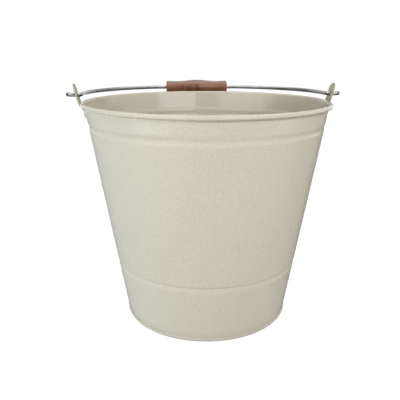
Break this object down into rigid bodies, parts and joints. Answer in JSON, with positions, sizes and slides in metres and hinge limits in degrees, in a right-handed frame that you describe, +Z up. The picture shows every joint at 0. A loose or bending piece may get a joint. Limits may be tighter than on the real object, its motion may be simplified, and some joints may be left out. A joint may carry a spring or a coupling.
{
  "type": "kindling bucket",
  "caption": "Tapered open-top sheet-steel bucket with a rolled rim, pressed swage lines and a swinging wire bail that carries a turned wooden grip, for holding kindling beside a hearth.",
  "frame": {"origin": "centre of the foot circle, on the floor plane", "axes": "+Z up along the bucket's axis; X along the bail's pivot, through both ears; -Y is the front, and at rest the bail lies back over the rear rim towards +Y"},
  "size_m": [0.3358, 0.3198, 0.2893],
  "materials": {
    "cream_paint": "satin cream powder coat with a fine orange peel",
    "bright_wire": "bright plated steel wire",
    "plain_wire": "plain drawn steel wire, hidden in the rim",
    "turned_wood": "oiled mid-brown turned hardwood"
  },
  "bodies": {
    "bucket": {"side_wall": "cream_paint", "base_disc": "cream_paint", "right_ear": "cream_paint", "right_ear_front_rivet": "cream_paint", "right_ear_rear_rivet": "cream_paint", "left_ear": "cream_paint", "left_ear_front_rivet": "cream_paint", "left_ear_rear_rivet": "cream_paint", "rim_wire": "plain_wire"},
    "bail": {"bail_wire": "bright_wire"},
    "grip": {"wooden_grip": "turned_wood"}
  },
  "joints": [
    {"name": "bail_swing", "type": "hinge", "parent": "bucket", "child": "bail", "pos_m": [0, 0, 0.27635], "axis": [1, 0, 0], "range_deg": [0, 180]},
    {"name": "grip_spin", "type": "hinge", "parent": "bail", "child": "grip", "pos_m": [0, 0.15887, 0.2739], "axis": [1, 0, 0], "continuous": true}
  ]
}
